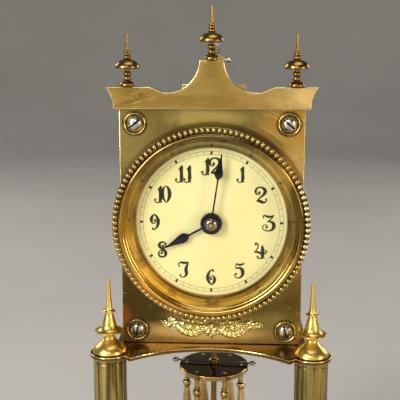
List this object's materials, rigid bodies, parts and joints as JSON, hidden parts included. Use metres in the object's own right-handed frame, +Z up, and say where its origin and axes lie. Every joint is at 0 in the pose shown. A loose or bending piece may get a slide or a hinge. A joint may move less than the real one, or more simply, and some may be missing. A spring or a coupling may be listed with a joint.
{
  "type": "anniversary clock",
  "caption": "Brass 400-day torsion clock with enamel dial in a beaded bezel, pediment and finials, on two columns over a round base with a rotating gallery pendulum.",
  "frame": {"origin": "centre of the round base, on the surface that the feet stand on; the pendulum hangs on this vertical axis", "axes": "+Z up, the dial faces -Y, +X to the right of a person who faces the dial"},
  "size_m": [0.204, 0.204, 0.3012],
  "materials": {
    "aged_brass": "old lacquered brass, brushed and mottled with patina, polished on high edges",
    "bright_brass": "polished spun brass with light tarnish in the hollows",
    "gilt_brass": "gilded cast brass, bright on the leaves and dark in the hollows",
    "wheel_brass": "machined clock brass, circular grain",
    "steel": "polished carbon steel with fine scratches",
    "blued_steel": "dark blued steel, glossy",
    "dial_enamel": "cream vitreous enamel with black printed numerals, slight gloss"
  },
  "bodies": {
    "frame": {"base_shell": "bright_brass", "column_left": "aged_brass", "column_right": "aged_brass", "column_finial_left": "aged_brass", "column_finial_right": "aged_brass", "platform": "aged_brass", "front_plate": "aged_brass", "back_plate": "aged_brass", "pediment": "aged_brass", "top_finial_left": "aged_brass", "top_finial_centre": "aged_brass", "top_finial_right": "aged_brass", "bezel": "bright_brass", "dial": "dial_enamel", "garland_mount": "gilt_brass", "suspension_spring": "steel", "suspension_bracket": "aged_brass", "pillar_lower_left": "wheel_brass", "pillar_screw_lower_left": "steel", "pillar_washer_lower_left": "aged_brass", "pillar_lower_right": "wheel_brass", "pillar_screw_lower_right": "steel", "pillar_washer_lower_right": "aged_brass", "pillar_upper_left": "wheel_brass", "pillar_screw_upper_left": "steel", "pillar_washer_upper_left": "aged_brass", "pillar_upper_right": "wheel_brass", "pillar_screw_upper_right": "steel", "pillar_washer_upper_right": "aged_brass"},
    "left_foot": {"levelling_foot_left": "aged_brass"},
    "right_foot": {"levelling_foot_right": "aged_brass"},
    "minute_hand_arbor": {"centre_wheel": "wheel_brass", "cannon_pinion": "steel", "minute_hand": "blued_steel", "hand_collet": "steel"},
    "hour_hand_wheel": {"hour_wheel": "wheel_brass", "hour_hand": "blued_steel"},
    "minute_wheel": {"minute_wheel": "wheel_brass"},
    "third_wheel": {"third_wheel": "wheel_brass"},
    "intermediate_wheel": {"intermediate_wheel": "wheel_brass"},
    "barrel": {"barrel": "wheel_brass", "barrel_cap": "wheel_brass", "mainspring": "steel"},
    "winding_arbor": {"winding_arbor": "steel"},
    "click": {"click": "steel"},
    "escape_wheel": {"escape_wheel": "wheel_brass"},
    "anchor": {"anchor": "steel"},
    "anchor_fork": {"anchor_fork": "wheel_brass"},
    "pendulum": {"pendulum_top_disc": "bright_brass", "pendulum_disc": "bright_brass", "pendulum_post": "bright_brass", "pendulum_pillar_1": "bright_brass", "pendulum_pillar_2": "bright_brass", "pendulum_pillar_3": "bright_brass", "pendulum_pillar_4": "bright_brass", "pendulum_pillar_5": "bright_brass", "pendulum_pillar_6": "bright_brass"},
    "regulator": {"regulator_bar": "steel"},
    "regulator_nut_left": {"regulator_nut_left": "steel"},
    "regulator_nut_right": {"regulator_nut_right": "steel"}
  },
  "joints": [
    {"name": "minute_hand_turn", "type": "hinge", "parent": "frame", "child": "minute_hand_arbor", "pos_m": [0, 0, 0.1934], "axis": [0, 1, 0], "continuous": true},
    {"name": "hour_hand_turn", "type": "hinge", "parent": "frame", "child": "hour_hand_wheel", "pos_m": [0, 0, 0.1934], "axis": [0, 1, 0], "continuous": true},
    {"name": "minute_wheel_turn", "type": "hinge", "parent": "frame", "child": "minute_wheel", "pos_m": [0.01039, 0, 0.1874], "axis": [0, 1, 0], "continuous": true},
    {"name": "third_wheel_turn", "type": "hinge", "parent": "frame", "child": "third_wheel", "pos_m": [-0.01966, 0, 0.19578], "axis": [0, 1, 0], "continuous": true},
    {"name": "intermediate_wheel_turn", "type": "hinge", "parent": "frame", "child": "intermediate_wheel", "pos_m": [-0.01738, 0, 0.17389], "axis": [0, 1, 0], "continuous": true},
    {"name": "barrel_turn", "type": "hinge", "parent": "frame", "child": "barrel", "pos_m": [0.013, 0, 0.161], "axis": [0, 1, 0], "continuous": true},
    {"name": "escape_wheel_turn", "type": "hinge", "parent": "frame", "child": "escape_wheel", "pos_m": [0, 0, 0.2116], "axis": [0, 1, 0], "continuous": true},
    {"name": "winding_arbor_turn", "type": "hinge", "parent": "frame", "child": "winding_arbor", "pos_m": [0.013, 0, 0.161], "axis": [0, 1, 0], "continuous": true},
    {"name": "click_lift", "type": "hinge", "parent": "frame", "child": "click", "pos_m": [0.0255, 0, 0.1705], "axis": [0, 1, 0], "range_deg": [0, 20], "stiffness_Nm_per_rad": 0.02, "springref_deg": -2.86},
    {"name": "pendulum_swing", "type": "hinge", "parent": "frame", "child": "pendulum", "pos_m": [0, 0, 0.275], "axis": [0, 0, 1], "range_deg": [-150, 150], "stiffness_Nm_per_rad": 0.00006},
    {"name": "anchor_rock", "type": "hinge", "parent": "frame", "child": "anchor", "pos_m": [0, 0, 0.2278], "axis": [0, 1, 0], "range_deg": [-1.95, 1.95]},
    {"name": "anchor_fork_turn", "type": "hinge", "parent": "frame", "child": "anchor_fork", "pos_m": [0, 0, 0.2398], "axis": [0, 0, 1], "range_deg": [-4.6, 4.6]},
    {"name": "regulator_turn", "type": "hinge", "parent": "pendulum", "child": "regulator", "pos_m": [0, 0, 0.1015], "axis": [0.9962, -0.0872, 0], "range_deg": [-721, 721]},
    {"name": "regulator_nut_left_travel", "type": "slide", "parent": "pendulum", "child": "regulator_nut_left", "axis": [0.9962, -0.0872, 0], "range_m": [-0.0005, 0.0005]},
    {"name": "regulator_nut_right_travel", "type": "slide", "parent": "pendulum", "child": "regulator_nut_right", "axis": [0.9962, -0.0872, 0], "range_m": [-0.0005, 0.0005]},
    {"name": "left_foot_adjust", "type": "slide", "parent": "frame", "child": "left_foot", "axis": [0, 0, 1], "range_m": [-0.003, 0]},
    {"name": "right_foot_adjust", "type": "slide", "parent": "frame", "child": "right_foot", "axis": [0, 0, 1], "range_m": [-0.003, 0]}
  ],
  "couplings": [
    {"joint": "hour_hand_turn", "follows": "minute_hand_turn", "ratio": 0.083333},
    {"joint": "minute_wheel_turn", "follows": "minute_hand_turn", "ratio": -0.33333},
    {"joint": "third_wheel_turn", "follows": "minute_hand_turn", "ratio": -0.125},
    {"joint": "intermediate_wheel_turn", "follows": "minute_hand_turn", "ratio": 0.013889},
    {"joint": "barrel_turn", "follows": "minute_hand_turn", "ratio": -0.0013889},
    {"joint": "escape_wheel_turn", "follows": "minute_hand_turn", "ratio": -12},
    {"joint": "anchor_rock", "follows": "pendulum_swing", "ratio": 0.011719},
    {"joint": "anchor_fork_turn", "follows": "pendulum_swing", "ratio": 0.03},
    {"joint": "regulator_turn", "follows": "regulator_nut_left_travel", "rad_per_m": -25133},
    {"joint": "regulator_nut_right_travel", "follows": "regulator_nut_left_travel", "ratio": -1}
  ]
}
